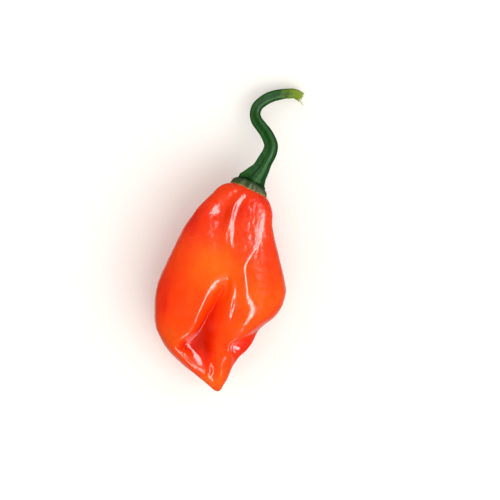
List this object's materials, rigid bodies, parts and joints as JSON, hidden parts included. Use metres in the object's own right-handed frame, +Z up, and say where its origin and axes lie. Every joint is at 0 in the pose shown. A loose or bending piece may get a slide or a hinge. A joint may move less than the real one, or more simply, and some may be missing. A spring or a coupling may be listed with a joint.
{
  "type": "chilli pepper",
  "caption": "Fresh orange habanero chilli pepper lying on its side, with a folded lantern-shaped pod, a low green calyx collar and a curved green stem.",
  "frame": {"origin": "centre of the small flat spot under the belly that the pod rests on, at the level of the surface", "axes": "+Z up from the surface, +Y along the pod from the blossom end towards the stem, +X to the right seen from above with the stem away from the viewer"},
  "size_m": [0.0283, 0.0692, 0.0237],
  "materials": {
    "pod_skin": "waxy, glossy fruit skin, red-orange to bright orange",
    "calyx": "satin, olive green with a tan edge",
    "stem": "waxy dark green, slightly ribbed, torn pale fibres at the cut end"
  },
  "bodies": {
    "root": {"pod": "pod_skin", "calyx": "calyx", "stem": "stem"}
  },
  "joints": []
}
